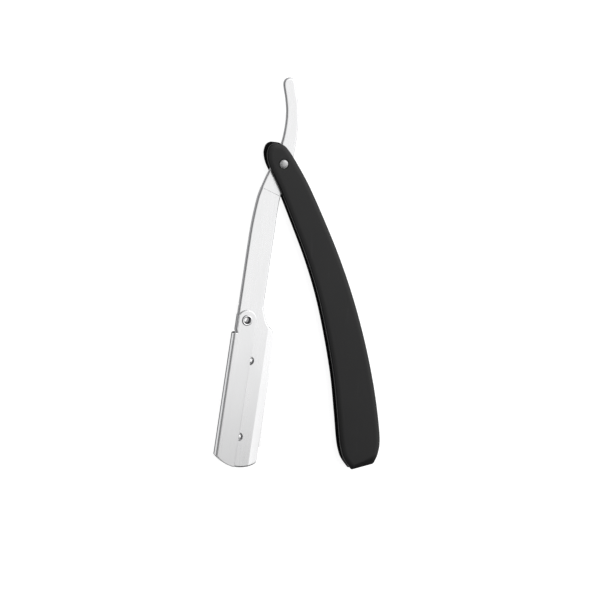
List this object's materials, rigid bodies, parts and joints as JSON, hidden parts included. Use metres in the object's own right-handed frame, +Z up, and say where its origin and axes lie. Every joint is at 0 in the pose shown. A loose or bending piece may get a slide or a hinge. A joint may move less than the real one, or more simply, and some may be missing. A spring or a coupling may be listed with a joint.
{
  "type": "straight razor",
  "caption": "Swing-lock straight razor: curved two-scale handle, steel arm with tail and blade holder, folding clip and exposed half blade.",
  "frame": {"origin": "bottom centre of the whole razor's box as it lies flat, part open, on the rear scale", "axes": "+Z up out of the front scale, +Y towards the tail, +X from the blade holder towards the handle"},
  "size_m": [0.0696, 0.1596, 0.0061],
  "materials": {
    "handle_plastic": "satin black moulded plastic",
    "arm_steel": "fine satin-polished stainless steel",
    "clip_steel": "satin stainless sheet, brushed along its length",
    "rivet_steel": "polished steel",
    "blade_steel": "bright ground razor steel",
    "washer_nylon": "natural nylon"
  },
  "bodies": {
    "handle": {"handle_front_scale": "handle_plastic", "handle_rear_scale": "handle_plastic", "butt_spacer": "handle_plastic", "pivot_rivet": "rivet_steel", "pivot_rear_burr": "rivet_steel", "front_tang_washer": "washer_nylon", "rear_tang_washer": "washer_nylon"},
    "arm": {"blade_arm": "arm_steel", "rear_blade_plate": "arm_steel", "upper_locating_pin": "rivet_steel", "lower_locating_pin": "rivet_steel", "clip_rivet": "rivet_steel"},
    "clip": {"swing_clip": "clip_steel"},
    "blade": {"half_blade": "blade_steel"}
  },
  "joints": [
    {"name": "handle_pivot", "type": "hinge", "parent": "handle", "child": "arm", "pos_m": [-0.01125, 0.04551, 0.0027], "axis": [0, 0, 1], "range_deg": [-227, 23]},
    {"name": "clip_swing", "type": "hinge", "parent": "arm", "child": "clip", "pos_m": [-0.02372, -0.01718, 0.0027], "axis": [0, 0, 1], "range_deg": [-100, 0]},
    {"name": "blade_slide", "type": "slide", "parent": "arm", "child": "blade", "axis": [0.9935, -0.1139, 0], "range_m": [0, 0.012]}
  ]
}
